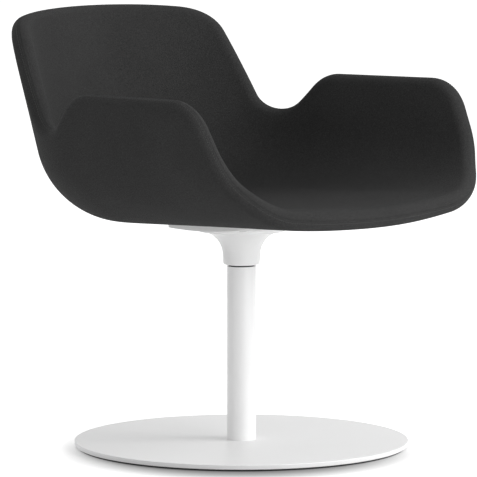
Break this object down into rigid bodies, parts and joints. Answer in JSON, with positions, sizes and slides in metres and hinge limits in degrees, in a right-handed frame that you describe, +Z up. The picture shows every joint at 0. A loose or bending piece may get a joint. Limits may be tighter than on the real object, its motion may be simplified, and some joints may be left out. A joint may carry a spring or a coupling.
{
  "type": "pedestal swivel armchair",
  "caption": "Low upholstered tub armchair with cut-down arms and a raised back, on a round column and flat disc base, whose seat turns freely.",
  "frame": {"origin": "on the floor, on the swivel axis, at the centre of the base's underside", "axes": "+Z up along the swivel axis, -Y the way the seat faces at rest, +X the sitter's left"},
  "size_m": [0.6732, 0.733, 0.7417],
  "materials": {
    "white_paint": "satin white powder coat",
    "steel": "machined",
    "brass": "machined",
    "pad_plastic": "matt black",
    "bush_plastic": "dark low-friction plastic",
    "core_plastic": "moulded",
    "foam": "moulded foam",
    "wool": "charcoal woven wool"
  },
  "bodies": {
    "base": {"base_disc": "white_paint", "base_pad": "pad_plastic", "base_screw": "steel", "base_dowels": "steel", "column_tube": "white_paint", "column_foot": "steel", "column_head": "steel", "upper_bush": "bush_plastic", "lower_bush": "bush_plastic", "thrust_washer": "bush_plastic"},
    "seat": {"spindle": "steel", "spindle_washer": "steel", "spindle_circlip": "steel", "spindle_screw": "steel", "spindle_screw_washer": "steel", "hub": "white_paint", "hub_screws": "steel", "hub_screw_washers": "steel", "shell_inserts": "brass", "shell_core": "core_plastic", "inner_foam": "foam", "outer_foam": "foam", "inner_cover": "wool", "outer_cover": "wool"}
  },
  "joints": [
    {"name": "swivel", "type": "hinge", "parent": "base", "child": "seat", "pos_m": [0, 0, 0.3145], "axis": [0, 0, 1], "continuous": true}
  ]
}
